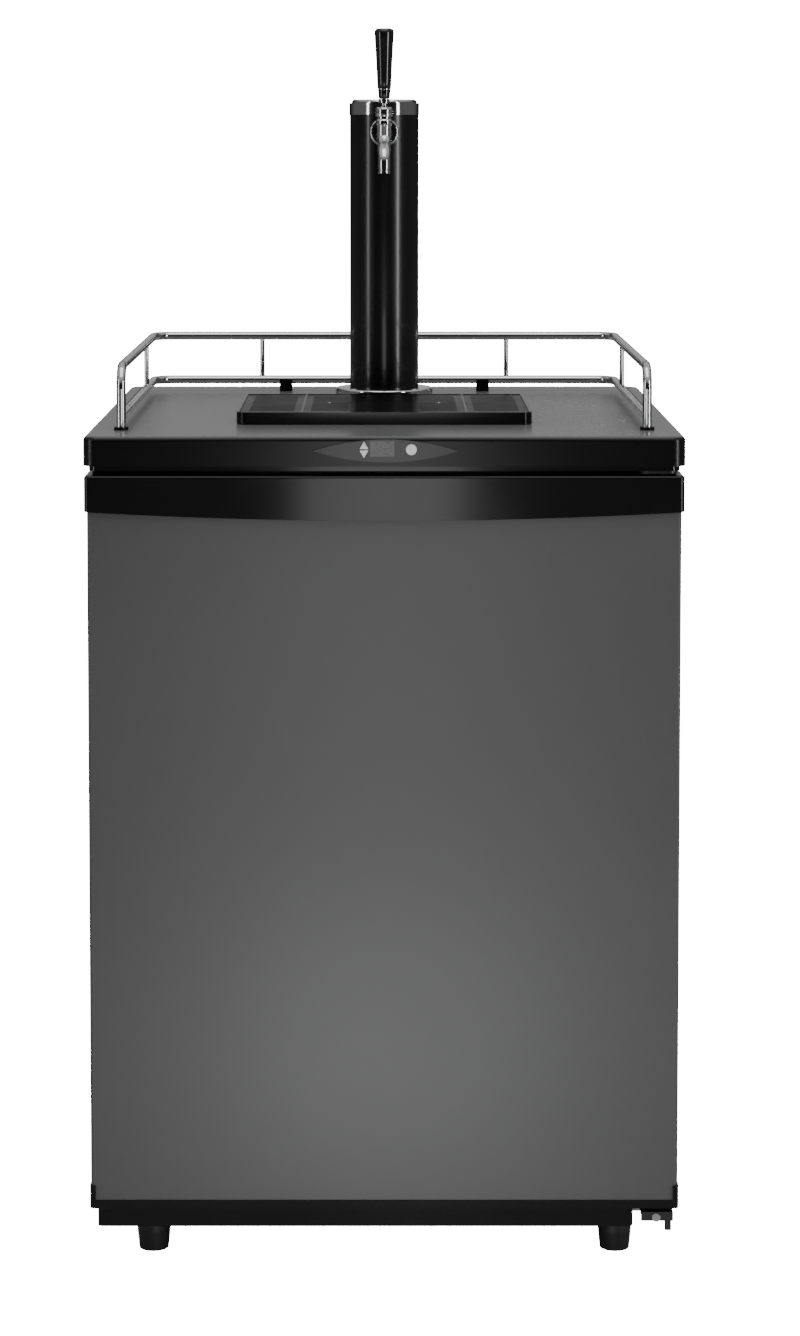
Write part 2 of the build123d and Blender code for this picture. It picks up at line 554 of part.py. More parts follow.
# Tap body: rear neck, upright barrel and angled spout.
with BuildPart() as faucet_body:
    pin_y(0, TAP_Z, 50, 78.8, 9)
    pin_y(0, TAP_Z, 64, 78.8, 10.9)
    pin(0, TAP_Y, TAP_Z - 12, 1147, 8)
    with BuildLine() as spout:
        FilletPolyline(
            (0, TAP_Y, TAP_Z - 6), (0, TAP_Y - 2, TAP_Z - 9), (0, SPOUT_Y, 1106), (0, SPOUT_Y, SPOUT_TIP),
            radius=3,
        )
    with BuildSketch(Plane.XY.offset(TAP_Z - 6)):
        with Locations((0, TAP_Y)):
            Circle(7)
    sweep(path=spout.line, transition=Transition.ROUND)
    pin(0, TAP_Y, TAP_Z - 4, 1148, 6.5, Mode.SUBTRACT)
    pin_y(0, TAP_Z, TAP_Y, 80, 4.5, Mode.SUBTRACT)
    pin(0, SPOUT_Y, SPOUT_TIP - 1, SPOUT_TIP + 13, 5, Mode.SUBTRACT)
save(faucet_body.part, "faucet_body")

with BuildPart() as faucet_bonnet:
    pin(0, TAP_Y, 1147, 1157, 9.6)
    chamfer(faucet_bonnet.edges().group_by(Axis.Z)[-1], 1.2)
    pin(0, TAP_Y, 1146, 1158, 6.5, Mode.SUBTRACT)
save(faucet_bonnet.part, "faucet_bonnet")

# Lever: ball on its cross pin, arm into the body, neck and the ferrule under the handle.
with BuildPart() as faucet_lever:
    with Locations((0, TAP_Y, PIVOT_Z)):
        Sphere(5)
    pin_x(TAP_Y, PIVOT_Z, -5.9, 5.9, 1.2)
    pin(0, TAP_Y, 1145, PIVOT_Z, 1.5)
    pin(0, TAP_Y, PIVOT_Z, 1162, 3)
    pin(0, TAP_Y, 1161.5, 1166, 6)
    pin(0, TAP_Y, 1166, 1178, 4)
save(faucet_lever.part, "faucet_lever")

# Plunger with the fork that the lever's arm moves.
with BuildPart() as faucet_plunger:
    pin_y(0, TAP_Z, TAP_Y, 84, 2)
    block(-3.6, 3.6, TAP_Y - 1, TAP_Y + 1, TAP_Z - 2, 1148.5)
    block(-1.8, 1.8, TAP_Y - 2, TAP_Y + 2, TAP_Z + 10, 1149, Mode.SUBTRACT)
    pin_y(0, TAP_Z, 80, 83, 3.6)
save(faucet_plunger.part, "faucet_plunger")

HANDLE_TOP = 1242.0
# Tap handle: tapered grip with a groove near its foot and a rounded top.
with BuildPart() as tap_handle:
    with BuildSketch(Plane.XZ.offset(-TAP_Y)):
        with BuildLine():
            Polyline(
                (0, 1166.1), (5.9, 1166.1), (7, 1175.6), (6.6, 1176.2), (6.6, 1177), (7.6, 1177.6),
                (8.2, 1195), (9.6, 1220), (10.7, 1236),
            )
            ThreePointArc((10.7, 1236), (8.6, 1240.8), (4, HANDLE_TOP))
            Line((4, HANDLE_TOP), (0, HANDLE_TOP))
            Line((0, HANDLE_TOP), (0, 1166.1))
        make_face()
    revolve(axis=Axis((0, TAP_Y, 0), (0, 0, 1)))
    pin(0, TAP_Y, 1165, 1178.2, 4.02, Mode.SUBTRACT)
save(tap_handle.part, "tap_handle")

# ---------------------------------------------------------------- cooling

FAN_X, FAN_Z = 0.0, 560.0
COVER_Y = 205.0
# Cover over the evaporator at the back of the keg space, with a fan ring and air slots.
with BuildPart() as evaporator_cover:
    block(-125, 125, COVER_Y, CAVITY_BACK - 0.1, 480, 720)
    fillet(evaporator_cover.edges().filter_by(Axis.Y), 12)
    block(-122, 122, COVER_Y + 3, CAVITY_BACK + 1, 483, 717, Mode.SUBTRACT)
    pin_y(FAN_X, FAN_Z, COVER_Y - 1, COVER_Y + 4, 48, Mode.SUBTRACT)
    with Locations(*((0, COVER_Y + 1.5, 668 + step * 10) for step in range(-3, 4))):
        Box(180, 6, 4.5, mode=Mode.SUBTRACT)
save(evaporator_cover.part, "evaporator_cover")

# Finned evaporator plate behind the cover.
with BuildPart() as evaporator:
    block(-100, 100, 236, 240, 500, 700)
    for x in range(-95, 100, 10):
        block(x, x + 1.2, 226.4, 236, 625, 700)
save(evaporator.part, "evaporator")

# Fan motor on a flat bar across the inside of the cover.
with BuildPart() as fan_motor:
    pin_y(FAN_X, FAN_Z, 217, 226, 17)
    pin_y(FAN_X, FAN_Z, 209.5, 217, 2)
    block(-121.9, 121.9, 224, 226, FAN_Z - 8, FAN_Z + 8)
save(fan_motor.part, "fan_motor")

with BuildPart() as fan_blade:
    for turn in range(0, 360, 72):
        with Locations(Location((FAN_X, 212, FAN_Z), (0, turn, 0))):
            with Locations(Location((26, 0, 0), (28, 0, 0))):
                Box(36, 1.6, 18)
    pin_y(FAN_X, FAN_Z, 200, 225, 44, Mode.INTERSECT)
    pin_y(FAN_X, FAN_Z, 208, 216, 12)
    pin_y(FAN_X, FAN_Z, 209, 217, 2.06, Mode.SUBTRACT)
save(fan_blade.part, "fan_blade")

# Compressor: a welded can with feet, and its relay box.
COMP_X, COMP_Y, COMP_Z = 90.0, 248.0, 68.0
COMP_TOP = 214.0
with BuildPart() as compressor:
    with BuildSketch(Plane.XY.offset(COMP_Z + 6)):
        with Locations((COMP_X, COMP_Y)):
            SlotOverall(170, 80)
    extrude(amount=COMP_TOP - COMP_Z - 6)
    fillet(compressor.edges().group_by(Axis.Z)[-1], 26)
    fillet(compressor.edges().group_by(Axis.Z)[0], 10)
    block(COMP_X - 95, COMP_X + 95, COMP_Y - 36, COMP_Y - 20, COMP_Z, COMP_Z + 10)
    block(COMP_X - 95, COMP_X + 95, COMP_Y + 20, COMP_Y + 36, COMP_Z, COMP_Z + 10)
    with Locations((COMP_X, COMP_Y, COMP_Z - 1)):
        with GridLocations(174, 56, 2, 2):
            Cylinder(4.1, 12, align=UPRIGHT, mode=Mode.SUBTRACT)
    block(COMP_X - 122, COMP_X - 82, COMP_Y - 20, COMP_Y + 20, 110, 165)
save(compressor.part, "compressor")

# Rubber mounts under the compressor's feet.
with BuildPart() as compressor_mounts:
    with Locations((COMP_X, COMP_Y, BASE_Z + 2)):
        with GridLocations(174, 56, 2, 2):
            Cylinder(8, COMP_Z - BASE_Z - 2, align=UPRIGHT)
            Cylinder(4, COMP_Z - BASE_Z + 9.8, align=UPRIGHT)
save(compressor_mounts.part, "compressor_mounts")

# Condenser on the back: one serpentine tube, and rows of wires on its outside.
COIL_Y = 293.0
COIL_X, COIL_LOW, COIL_STEP, COIL_ROWS = 215.0, 330.0, 36.0, 12
TUBE_R = 2.4
with BuildPart() as condenser:
    points = []
    for row in range(COIL_ROWS):
        z = COIL_LOW + row * COIL_STEP
        way = 1 if row % 2 == 0 else -1
        points += [(-way * COIL_X, COIL_Y, z), (way * COIL_X, COIL_Y, z)]
    with BuildLine() as serpentine:
        FilletPolyline(*points, radius=17)
    with BuildSketch(Plane.YZ.offset(-COIL_X)):
        with Locations((COIL_Y, COIL_LOW)):
            Circle(TUBE_R)
    sweep(path=serpentine.line)
    for index in range(-9, 10):
        pin(index * 22, COIL_Y + TUBE_R + 0.8, 322, 734, 0.9)
    for z in (322, 734):
        block(-220, 220, COIL_Y + TUBE_R, COIL_Y + TUBE_R + 1.8, z - 2, z + 2)
save(condenser.part, "condenser")

# Clips that hold the condenser, with bumpers that keep the cooler off the wall.
with BuildPart() as condenser_clips:
    for x, z in ((234, 348), (234, 708), (-234, 384), (-234, 672)):
        block(x - 9, x + 9, CABINET_BACK, 305, z - 12, z + 12)
        low, high = sorted((x, x - 25 * (1 if x > 0 else -1)))
        block(low, high, COIL_Y - 4, COIL_Y + 4, z - 5, z + 5)
    add(condenser.part, mode=Mode.SUBTRACT)
save(condenser_clips.part, "condenser_clips")

# Copper lines: from the compressor to the foot of the condenser, and back from its top
# through the filter drier.
with BuildPart() as refrigerant_lines:
    with BuildLine() as run:
        FilletPolyline(
            (COMP_X, COMP_Y, COMP_TOP),
            (COMP_X, COMP_Y, 240),
            (COMP_X, COIL_Y, 240),
            (-232, COIL_Y, 240),
            (-232, COIL_Y, COIL_LOW),
            (-COIL_X, COIL_Y, COIL_LOW),
            radius=8,
        )
    with BuildSketch(Plane.XY.offset(COMP_TOP)):
        with Locations((COMP_X, COMP_Y)):
            Circle(TUBE_R)
    sweep(path=run.line)
    coil_end = COIL_LOW + (COIL_ROWS - 1) * COIL_STEP
    with BuildLine() as return_run:
        FilletPolyline(
            (-COIL_X, COIL_Y, coil_end),
            (-250, COIL_Y, coil_end),
            (-250, COIL_Y, 120),
            radius=12,
        )
    with BuildSketch(Plane.YZ.offset(-COIL_X)):
        with Locations((COIL_Y, coil_end)):
            Circle(TUBE_R)
    sweep(path=return_run.line)
    pin(-250, COIL_Y, 130, 220, 7.5)
save(refrigerant_lines.part, "refrigerant_lines")

# ---------------------------------------------------------------- ports

# Grommet for the gas line through the back wall.
with BuildPart() as gas_line_grommet:
    pin_y(GAS_X, GAS_Z, CAVITY_BACK - 2, CAVITY_BACK, 13)
    pin_y(GAS_X, GAS_Z, CAVITY_BACK, CABINET_BACK, 10)
    pin_y(GAS_X, GAS_Z, CABINET_BACK, CABINET_BACK + 2, 13)
    pin_y(GAS_X, GAS_Z, CAVITY_BACK - 3, CABINET_BACK + 3, 7.5, Mode.SUBTRACT)
save(gas_line_grommet.part, "gas_line_grommet")

# Strain-relief gland where the supply cord leaves the compressor bay.
with BuildPart() as cord_gland:
    block(-222, -182, CABINET_BACK - 12, CABINET_BACK - 10, BASE_Z + 2, 90)
    pin_y(-202, 74, CABINET_BACK - 18, CABINET_BACK + 2, 9)
    pin_y(-202, 74, CABINET_BACK - 19, CABINET_BACK + 3, 4.5, Mode.SUBTRACT)
save(cord_gland.part, "cord_gland")
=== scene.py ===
import json
import math

import bmesh
import bpy
from mathutils import Matrix, Vector


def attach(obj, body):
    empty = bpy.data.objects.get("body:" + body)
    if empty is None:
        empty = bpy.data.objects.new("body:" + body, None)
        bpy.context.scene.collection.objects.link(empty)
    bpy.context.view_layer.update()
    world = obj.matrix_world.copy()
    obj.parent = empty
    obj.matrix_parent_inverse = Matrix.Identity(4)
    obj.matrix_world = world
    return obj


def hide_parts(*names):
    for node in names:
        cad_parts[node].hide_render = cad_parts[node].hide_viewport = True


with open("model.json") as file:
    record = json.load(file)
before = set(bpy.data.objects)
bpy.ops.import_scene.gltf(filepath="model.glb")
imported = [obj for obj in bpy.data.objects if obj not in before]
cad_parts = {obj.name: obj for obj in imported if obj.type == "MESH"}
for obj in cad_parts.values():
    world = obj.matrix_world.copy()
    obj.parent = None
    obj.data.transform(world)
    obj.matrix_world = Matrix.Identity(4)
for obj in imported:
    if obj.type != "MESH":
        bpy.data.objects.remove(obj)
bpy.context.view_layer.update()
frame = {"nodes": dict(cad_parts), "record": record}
NODES = frame["nodes"]


# ------------------------------------------------------------------ materials


def ramp_points(ramp, points):
    """Sets a colour ramp's stops from (position, grey or colour) pairs."""
    while len(ramp.elements) > 1:
        ramp.elements.remove(ramp.elements[-1])
    for i, (pos, value) in enumerate(points):
        stop = ramp.elements[0] if i == 0 else ramp.elements.new(pos)
        stop.position = pos
        colour = (value,) * 3 if isinstance(value, (int, float)) else value
        stop.color = (*colour, 1)


def blend(nodes, links, kind, first, second):
    """Joins two colours in one blend mode."""
    mix = nodes.new("ShaderNodeMix")
    mix.data_type = "RGBA"
    mix.blend_type = kind
    mix.inputs["Factor"].default_value = 1
    links.new(first, mix.inputs[6])
    links.new(second, mix.inputs[7])
    return mix.outputs[2]


def surface(name, colour, rough, metal=0.0, vary=0.25, rough_vary=0.08, scale=6.0, grain=None,
            coat=0.0, stretch=(1, 1, 1), specular=0.5, painted_glow=0.0):
    """A material whose colour and roughness drift with noise, with an optional fine grain.

    grain is (noise scale, bump strength, bump distance in metres)."""
    mat = bpy.data.materials.new(name)
    mat.use_nodes = True
    nodes, links = mat.node_tree.nodes, mat.node_tree.links
    bsdf = nodes["Principled BSDF"]
    bsdf.inputs["Metallic"].default_value = metal
    bsdf.inputs["IOR"].default_value = 1.5
    bsdf.inputs["Specular IOR Level"].default_value = specular
    bsdf.inputs["Coat Weight"].default_value = coat
    bsdf.inputs["Coat Roughness"].default_value = 0.05
    coords = nodes.new("ShaderNodeTexCoord")
    mapping = nodes.new("ShaderNodeMapping")
    mapping.inputs["Scale"].default_value = stretch
    links.new(coords.outputs["Object"], mapping.inputs["Vector"])
    noise = nodes.new("ShaderNodeTexNoise")
    noise.inputs["Scale"].default_value = scale
    noise.inputs["Detail"].default_value = 5
    noise.inputs["Roughness"].default_value = 0.6
    links.new(mapping.outputs["Vector"], noise.inputs["Vector"])
    tint = nodes.new("ShaderNodeValToRGB")
    low = tuple(c * (1 - vary) for c in colour)
    high = tuple(min(1, c * (1 + vary)) for c in colour)
    ramp_points(tint.color_ramp, [(0.3, low), (0.7, high)])
    links.new(noise.outputs["Fac"], tint.inputs["Fac"])
    links.new(tint.outputs["Color"], bsdf.inputs["Base Color"])
    drift = nodes.new("ShaderNodeMapRange")
    drift.inputs["From Min"].default_value = 0.3
    drift.inputs["From Max"].default_value = 0.7
    drift.inputs["To Min"].default_value = max(0.02, rough - rough_vary)
    drift.inputs["To Max"].default_value = rough + rough_vary
    links.new(noise.outputs["Fac"], drift.inputs["Value"])
    links.new(drift.outputs["Result"], bsdf.inputs["Roughness"])
    # A glow set here is painted light: the colour shines by itself though the part holds no lamp.
    if painted_glow:
        links.new(tint.outputs["Color"], bsdf.inputs["Emission Color"])
        bsdf.inputs["Emission Strength"].default_value = painted_glow
    if grain:
        fine = nodes.new("ShaderNodeTexNoise")
        fine.inputs["Scale"].default_value = grain[0]
        fine.inputs["Detail"].default_value = 3
        links.new(mapping.outputs["Vector"], fine.inputs["Vector"])
        bump = nodes.new("ShaderNodeBump")
        bump.inputs["Strength"].default_value = grain[1]
        bump.inputs["Distance"].default_value = grain[2]
        links.new(fine.outputs["Fac"], bump.inputs["Height"])
        links.new(bump.outputs["Normal"], bsdf.inputs["Normal"])
    return mat


def painted_light_ramp(mat, source, channel, stops):
    """Paints light or shade into a material's colour by scaling it along one channel of its texture
    coordinates or normals.
    """
    nodes, links = mat.node_tree.nodes, mat.node_tree.links
    bsdf = nodes["Principled BSDF"]
    coords = nodes.new("ShaderNodeTexCoord")
    split = nodes.new("ShaderNodeSeparateXYZ")
    links.new(coords.outputs[source], split.inputs["Vector"])
    ramp = nodes.new("ShaderNodeValToRGB")
    ramp.color_ramp.interpolation = "EASE"
    ramp_points(ramp.color_ramp, stops)
    links.new(split.outputs[channel], ramp.inputs["Fac"])
    plain = bsdf.inputs["Base Color"].links[0].from_socket
    scaled = blend(nodes, links, "MULTIPLY", plain, ramp.outputs["Color"])
    links.new(scaled, bsdf.inputs["Base Color"])


MATS = {
    "door_paint": surface("door_paint", (0.094, 0.094, 0.095), 0.5, metal=0.45, vary=0.03,
                          rough_vary=0.02, scale=3, grain=(900, 0.05, 0.0002), specular=0.25),
    "cabinet_paint": surface("cabinet_paint", (0.018, 0.018, 0.019), 0.36, vary=0.1,
                             rough_vary=0.05, grain=(420, 0.12, 0.0004)),
    "black_gloss": surface("black_gloss", (0.003, 0.003, 0.0033), 0.17, vary=0.15,
                           rough_vary=0.03, grain=(260, 0.03, 0.0003), specular=0.35),
    # black_satin's grey colour is the painted reflection on the worktop's upward faces; a ramp on
    # the normals below darkens its other faces to black.
    "black_satin": surface("black_satin", (0.125, 0.125, 0.127), 0.27, vary=0.04,
                           rough_vary=0.01, scale=3, grain=(900, 0.015, 0.0001), specular=0.3),
    "black_matte": surface("black_matte", (0.005, 0.005, 0.0053), 0.3, vary=0.2,
                           rough_vary=0.06, grain=(700, 0.12, 0.0003), specular=0.12),
    "column_paint": surface("column_paint", (0.004, 0.004, 0.0043), 0.24, vary=0.15,
                            rough_vary=0.03, grain=(700, 0.04, 0.0002), coat=0.15,
                            specular=0.4),
    "chrome": surface("chrome", (0.62, 0.62, 0.63), 0.09, metal=1.0, vary=0.03,
                      rough_vary=0.03, scale=20),
    "grip": surface("grip", (0.007, 0.007, 0.0075), 0.16, vary=0.15, rough_vary=0.04, coat=0.4),
    "steel": surface("steel", (0.42, 0.42, 0.43), 0.38, metal=1.0, vary=0.12, rough_vary=0.1,
                     scale=14, stretch=(1, 1, 6)),
    "bracket_paint": surface("bracket_paint", (0.015, 0.015, 0.015), 0.4, vary=0.2,
                             grain=(500, 0.15, 0.0003)),
    "foam": surface("foam", (0.72, 0.62, 0.38), 0.85, vary=0.15, grain=(300, 0.5, 0.001)),
    "liner": surface("liner", (0.86, 0.87, 0.87), 0.34, vary=0.01, rough_vary=0.01, scale=30,
                     grain=(350, 0.02, 0.0002), specular=0.3),
    "rubber": surface("rubber", (0.018, 0.018, 0.018), 0.6, vary=0.25, grain=(500, 0.2, 0.0004)),
    "foot_plastic": surface("foot_plastic", (0.012, 0.012, 0.012), 0.38, vary=0.25,
                            rough_vary=0.1, grain=(400, 0.2, 0.0004)),
    "bush": surface("bush", (0.62, 0.61, 0.58), 0.4, vary=0.05),
    # The white keys glow faintly: a painted glow, as they hold no lamp.
    "key_white": surface("key_white", (0.62, 0.62, 0.61), 0.3, vary=0.05, painted_glow=0.12),
    "display": surface("display", (0.012, 0.012, 0.013), 0.12, vary=0.2, rough_vary=0.03),
    "board": surface("board", (0.02, 0.16, 0.05), 0.4, vary=0.2, scale=60),
    "machine_black": surface("machine_black", (0.014, 0.014, 0.015), 0.4, vary=0.3,
                             rough_vary=0.1, grain=(220, 0.2, 0.0006)),
    "copper": surface("copper", (0.62, 0.27, 0.14), 0.32, metal=1.0, vary=0.25, rough_vary=0.12,
                      scale=30),
    "aluminium": surface("aluminium", (0.7, 0.71, 0.72), 0.35, metal=1.0, vary=0.08, scale=30),
    "segment": surface("segment", (0.1, 0.1, 0.1), 0.4, vary=0.1),
    "chrome_worn": surface("chrome_worn", (0.6, 0.6, 0.61), 0.16, metal=1.0, vary=0.05,
                           rough_vary=0.06, scale=40, grain=(800, 0.04, 0.0002)),
}
# The worktop moulding has a textured top and glossy black edges. The grey of its upward faces is a
# painted reflection of the bright room seen at a grazing angle, set by the faces' normals.
painted_light_ramp(MATS["black_satin"], "Normal", "Z", [(0.0, 0.016), (0.6, 0.03), (0.95, 1.0)])
SLOT_OF = {s["node"]: s["material_slot"] for s in frame["record"]["subparts"]}


def dress(obj, mat, angle=32):
    """Gives an object one material and smooth shading that keeps its hard edges."""
    obj.data.materials.clear()
    obj.data.materials.append(mat)
    obj.data.shade_smooth()
    obj.data.set_sharp_from_angle(angle=math.radians(angle))


for node, obj in NODES.items():
    dress(obj, MATS[SLOT_OF[node]])


# ------------------------------------------------------------------ shape helpers


def put(bm, name, body, mat, angle=32, bevel=0.0):
    """Turns a bmesh into a piece that rides a CAD body."""
    bmesh.ops.recalc_face_normals(bm, faces=bm.faces)
    mesh = bpy.data.meshes.new(name)
    bm.to_mesh(mesh)
    bm.free()
    obj = bpy.data.objects.new(name, mesh)
    bpy.context.scene.collection.objects.link(obj)
    dress(obj, MATS[mat], angle)
    if bevel:
        mod = obj.modifiers.new("edge", "BEVEL")
        mod.width = bevel
        mod.segments = 3
        mod.limit_method = "ANGLE"
    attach(obj, body)
    return obj


def lathe(bm, profile, origin, axis="Z", steps=64):
    """Spins (radius, height) points, in millimetres, about an axis through origin."""
    turn = Matrix.Rotation(math.radians(-90), 3, "X") if axis == "Y" else Matrix.Identity(3)
    rings = []
    for radius, height in profile:
        ring = []
        for i in range(steps):
            a = 2 * math.pi * i / steps
            local = Vector((radius * math.cos(a), radius * math.sin(a), height)) / 1000
            ring.append(bm.verts.new(Vector(origin) + turn @ local))
        rings.append(ring)
    for low, high in zip(rings, rings[1:]):
        for i in range(steps):
            j = (i + 1) % steps
            bm.faces.new((low[i], low[j], high[j], high[i]))


def brick(bm, x0, x1, y0, y1, z0, z1):
    """A box between two corners, in millimetres."""
    size = Vector((x1 - x0, y1 - y0, z1 - z0)) / 1000
    mid = Vector((x0 + x1, y0 + y1, z0 + z1)) / 2000
    bmesh.ops.create_cube(bm, size=1, matrix=Matrix.Translation(mid) @ Matrix.Diagonal((*size, 1)))


def tube(bm, points, radii, steps=40):
    """A round tube along points in one YZ plane, in millimetres, with a radius at each point."""
    path = [Vector(p) / 1000 for p in points]
    rings = []
    for i, here in enumerate(path):
        along = (path[min(i + 1, len(path) - 1)] - path[max(i - 1, 0)]).normalized()
        across = Vector((1, 0, 0))
        up = along.cross(across).normalized()
        ring = []
        for k in range(steps):
            a = 2 * math.pi * k / steps
            offset = across * math.cos(a) + up * math.sin(a)
            ring.append(bm.verts.new(here + offset * radii[i] / 1000))
        rings.append(ring)
    for low, high in zip(rings, rings[1:]):
        for k in range(steps):
            m = (k + 1) % steps
            bm.faces.new((low[k], low[m], high[m], high[k]))
    return rings


def bend(a, b, c, count=10):
    """Points of a quadratic curve from a to c that leans towards b."""
    a, b, c = Vector(a), Vector(b), Vector(c)
    steps = [i / count for i in range(count + 1)]
    return [a * (1 - t) ** 2 + b * 2 * t * (1 - t) + c * t ** 2 for t in steps]


# ------------------------------------------------------------------ tap

TAP_Z, TAP_Y = 1.130, 0.050

bm = bmesh.new()
lathe(bm, [(0, 1117), (5, 1117.4), (7.4, 1119.5), (8, 1123), (8, 1137), (8.3, 1138.4), (9, 1139.2),
           (9, 1142.6), (8.3, 1143.4), (8, 1144.4), (8, 1147), (6.5, 1147), (6.5, 1132), (0, 1132)],
      (0, TAP_Y, 0))
lathe(bm, [(4.5, 78.8), (10.6, 78.8), (10.9, 78), (10.9, 66), (10.2, 64.4), (8.8, 63), (8.3, 58),
           (7.6, 50)], (0, 0, TAP_Z), axis="Y")
spout = bend((0, 49, 1124), (0, 46, 1116), (0, 33, 1112.5), 8)
spout += bend((0, 33, 1112.5), (0, 18, 1108), (0, 18, 1096), 10)[1:]
spout += [(0, 18, 1090.6), (0, 18, 1090.2), (0, 18, 1089.2), (0, 18, 1088.8), (0, 18, 1086.4),
          (0, 18, 1086), (0, 18, 1086.2), (0, 18, 1098)]
radii = [7.4 - 0.6 * min(1, i / 16) for i in range(len(spout) - 8)]
tube(bm, spout, radii + [6.8, 6.2, 6.2, 6.8, 6.8, 6.4, 5.2, 5.0])
body = put(bm, "tap_body_casting", "cabinet", "chrome")
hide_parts("faucet_body")

bm = bmesh.new()
lathe(bm, [(6.5, 1147), (9.4, 1147), (9.6, 1147.4), (9.6, 1149.4), (9, 1150), (9, 1152.6),
           (9.6, 1153.2), (9.6, 1154.8), (8.6, 1156.4), (7, 1157), (6.5, 1156.6), (6.5, 1147)],
      (0, TAP_Y, 0), steps=72)
bonnet = put(bm, "tap_bonnet_ring", "cabinet", "chrome")
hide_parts("faucet_bonnet")

bm = bmesh.new()
lathe(bm, [(4.02, 1178), (4.02, 1166.2), (5.5, 1166.2), (5.95, 1166.8), (6.95, 1175.2),
           (6.6, 1175.9), (6.6, 1176.9), (7.4, 1177.5), (7.8, 1184), (8.2, 1195), (9.0, 1209),
           (9.6, 1220), (10.3, 1231), (10.66, 1236.2), (10.4, 1238.8), (9.4, 1240.8),
           (7.2, 1241.8), (4, 1242), (0, 1242)], (0, TAP_Y, 0), steps=72)
grip = put(bm, "handle_grip", "tap_lever", "grip", angle=50)
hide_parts("tap_handle")

bm = bmesh.new()
lathe(bm, [(6.5, 1175.7), (6.85, 1175.9), (6.95, 1176.4), (6.85, 1176.9), (6.5, 1177.1)],
      (0, TAP_Y, 0), steps=48)
put(bm, "handle_ring", "tap_lever", "chrome")

# ------------------------------------------------------------------ control panel

FACE = -304.5


def digit(bm, x, z, w, h, t):
    """Seven bars of one numeral."""
    half = h / 2
    for level in (-half, 0, half):
        brick(bm, x - w / 2 + t * 0.6, x + w / 2 - t * 0.6, FACE - 0.3, FACE, z + level - t / 2,
              z + level + t / 2)
    for side in (-1, 1):
        for level in (-half / 2, half / 2):
            brick(bm, x + side * w / 2 - t / 2, x + side * w / 2 + t / 2, FACE - 0.3, FACE,
                  z + level - half / 2 + t * 0.6, z + level + half / 2 - t * 0.6)


bm = bmesh.new()
for x in (-6.6, 3.2):
    digit(bm, x, 823.2, 6.6, 11.2, 1.5)
put(bm, "display_bars", "cabinet", "segment")

bm = bmesh.new()
for z in (819, 823, 827):
    brick(bm, 18.2, 19.2, FACE - 0.25, FACE + 0.1, z - 0.5, z + 0.5)
put(bm, "panel_dots", "cabinet", "segment")

# ------------------------------------------------------------------ drip tray

# The ribs are grey, lighter than the black grille: a painted highlight for their shine, added to
# the real shine of their bevelled edges.
bm = bmesh.new()
for x in (-83.5, 83.5):
    brick(bm, x - 1.3, x + 1.3, -178, 30, 846.6, 847.6)
put(bm, "grille_ribs", "grille", "segment",
    bevel=0.0004)

# The hand slots are flat matte black strips laid on the grille: painted shade standing in for the
# dark of the open slots.
bm = bmesh.new()
for x in (-44, 44):
    brick(bm, x - 10, x + 10, -66, -60, 846.85, 847.1)
put(bm, "grille_slot_shade", "grille", "black_matte")

bm = bmesh.new()
for x in (-57, 57):
    lathe(bm, [(0, 847.5), (1.4, 847.4), (2.1, 847), (2.2, 846.8)], (x / 1000, -0.063, 0), steps=24)
put(bm, "grille_catches", "grille", "chrome_worn")

# ------------------------------------------------------------------ camera, light, floor

BACKDROP_WHITE = 18        # strength at which the view transform reaches white

cam_data = bpy.data.cameras.new("camera")
cam_data.lens = 84.9
cam_data.sensor_width = 36
cam_data.shift_x = 0.0118
cam_data.shift_y = -0.247
cam = bpy.data.objects.new("camera", cam_data)
cam.location = (0, -3.3603, 1.14)
cam.rotation_euler = (math.radians(90 - 3.905), 0, 0)
bpy.context.scene.collection.objects.link(cam)
bpy.context.scene.camera = cam


def lamp(name, where, aim, size, power, tall=None, mirrored=True):
    """An area light at one point that faces another, left out of reflections if not mirrored."""
    data = bpy.data.lights.new(name, "AREA")
    data.energy = power
    data.shape = "RECTANGLE"
    data.size = size
    data.size_y = tall or size
    obj = bpy.data.objects.new(name, data)
    obj.location = where
    obj.visible_glossy = mirrored
    obj.rotation_euler = (Vector(aim) - Vector(where)).to_track_quat("-Z", "Y").to_euler()
    bpy.context.scene.collection.objects.link(obj)


lamp("overhead", (0, -0.9, 3.4), (0, 0, 0.7), 2.4, 34)
lamp("left_strip", (-2.05, -1.3, 0.9), (0, 0.13, 0.9), 0.26, 12, 2.2)
lamp("right_strip", (1.8, -1.6, 0.9), (0, 0.13, 0.9), 0.28, 24, 2.2)
lamp("door_foot", (0, -0.95, 0.04), (0, -0.3, 0.1), 0.3, 2.2, 0.15)
lamp("door_middle", (0, -1.0, 0.62), (0, -0.3, 0.62), 0.2, 1.0, 0.5)
lamp("back_left", (-2.4, 2.6, 2.4), (0, 0, 0.6), 1.6, 26, mirrored=False)
lamp("back_right", (2.4, 2.2, 1.8), (0, 0, 0.6), 1.6, 18, mirrored=False)


def seen_by_camera(nodes, links, lit, shown, output):
    """Shows one shader to the camera and lights the scene with another."""
    path = nodes.new("ShaderNodeLightPath")
    mix = nodes.new("ShaderNodeMixShader")
    links.new(path.outputs["Is Camera Ray"], mix.inputs["Fac"])
    links.new(lit, mix.inputs[1])
    links.new(shown, mix.inputs[2])
    links.new(mix.outputs["Shader"], output.inputs["Surface"])


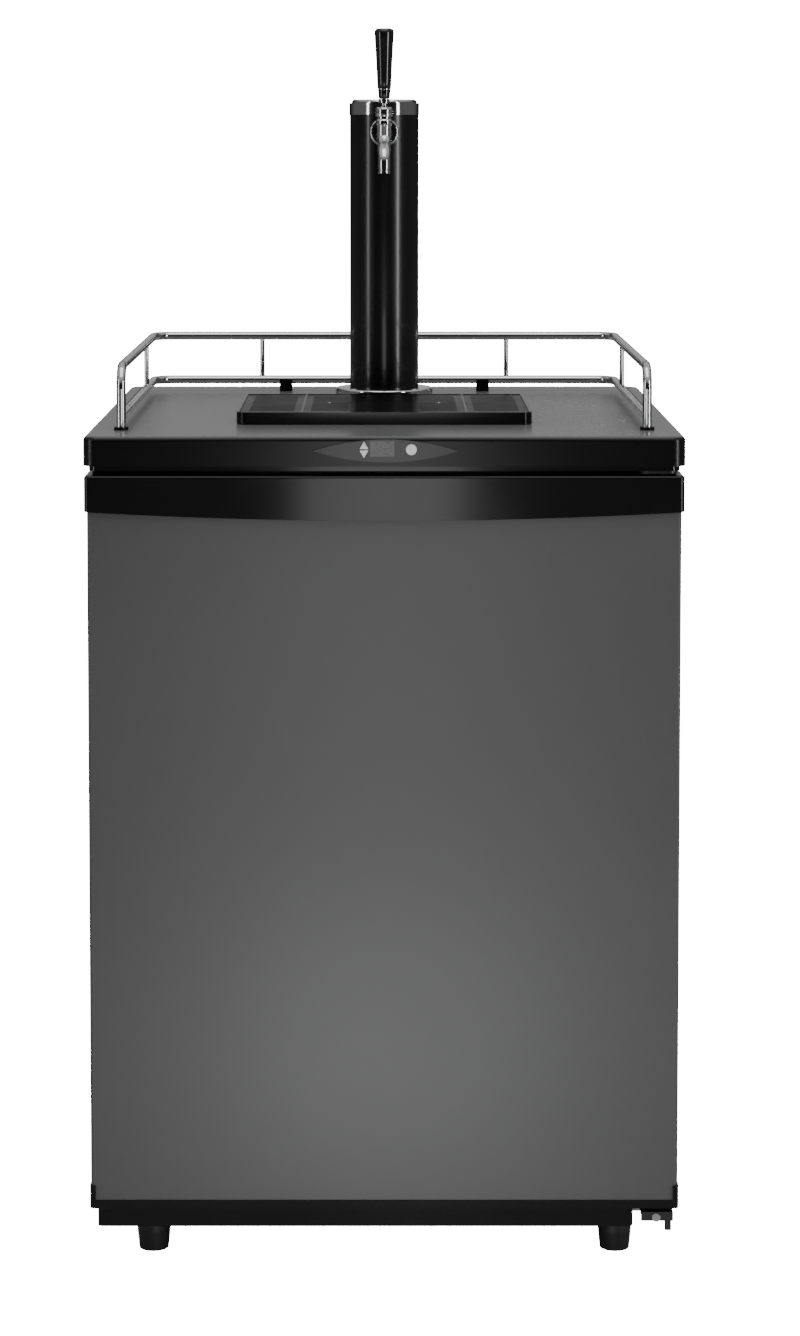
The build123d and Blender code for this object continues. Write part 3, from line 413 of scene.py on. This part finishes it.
# The room that lights the object: dark in front, bright overhead, a pale wall straight behind the
# object and dim ones at its sides. The camera sees plain white instead.
world = bpy.data.worlds.new("studio")
world.use_nodes = True
wn, wl = world.node_tree.nodes, world.node_tree.links
backdrop = wn["Background"]
backdrop.inputs["Color"].default_value = (1, 1, 1, 1)
backdrop.inputs["Strength"].default_value = BACKDROP_WHITE
around = wn.new("ShaderNodeBackground")
direction = wn.new("ShaderNodeTexCoord")
parts = wn.new("ShaderNodeSeparateXYZ")
wl.new(direction.outputs["Generated"], parts.inputs["Vector"])
sky = wn.new("ShaderNodeValToRGB")
ramp_points(sky.color_ramp, [(0.0, 0.015), (0.3, 0.02), (0.65, 0.55), (1.0, 0.6)])
wl.new(parts.outputs["Z"], sky.inputs["Fac"])
wall = wn.new("ShaderNodeValToRGB")
ramp_points(wall.color_ramp, [(0.0, 0.0), (0.88, 0.0), (0.97, 0.42), (1.0, 0.42)])
wl.new(parts.outputs["Y"], wall.inputs["Fac"])
above = wn.new("ShaderNodeMapRange")
above.inputs["From Min"].default_value = 0.035
above.inputs["From Max"].default_value = 0.07
wl.new(parts.outputs["Z"], above.inputs["Value"])
high_wall = blend(wn, wl, "MULTIPLY", wall.outputs["Color"], above.outputs["Result"])
both = blend(wn, wl, "ADD", sky.outputs["Color"], high_wall)
aside = wn.new("ShaderNodeMath")
aside.operation = "ABSOLUTE"
wl.new(parts.outputs["X"], aside.inputs[0])
sides = wn.new("ShaderNodeValToRGB")
ramp_points(sides.color_ramp, [(0.0, 0.0), (0.6, 0.0), (0.93, 0.11), (1.0, 0.11)])
wl.new(aside.outputs["Value"], sides.inputs["Fac"])
room = blend(wn, wl, "ADD", both, sides.outputs["Color"])
wl.new(room, around.inputs["Color"])
around.inputs["Strength"].default_value = 1.0
seen_by_camera(wn, wl, around.outputs["Background"], backdrop.outputs["Background"],
               wn["World Output"])
bpy.context.scene.world = world

floor_mat = bpy.data.materials.new("floor")
floor_mat.use_nodes = True
fn = floor_mat.node_tree.nodes
fl = floor_mat.node_tree.links
floor_bsdf = fn["Principled BSDF"]
floor_bsdf.inputs["Roughness"].default_value = 0.8
floor_noise = fn.new("ShaderNodeTexNoise")
floor_noise.inputs["Scale"].default_value = 1.5
floor_tint = fn.new("ShaderNodeValToRGB")
ramp_points(floor_tint.color_ramp, [(0.2, 0.3), (0.8, 0.34)])
fl.new(floor_noise.outputs["Fac"], floor_tint.inputs["Fac"])
fl.new(floor_tint.outputs["Color"], floor_bsdf.inputs["Base Color"])
white = fn.new("ShaderNodeEmission")
white.inputs["Strength"].default_value = BACKDROP_WHITE
seen_by_camera(fn, fl, floor_bsdf.outputs["BSDF"], white.outputs["Emission"],
               fn["Material Output"])
bpy.ops.mesh.primitive_circle_add(vertices=96, radius=14, fill_type="NGON", location=(0, 0, 0))
floor = bpy.context.object
floor.name = "floor"
floor.data.materials.append(floor_mat)
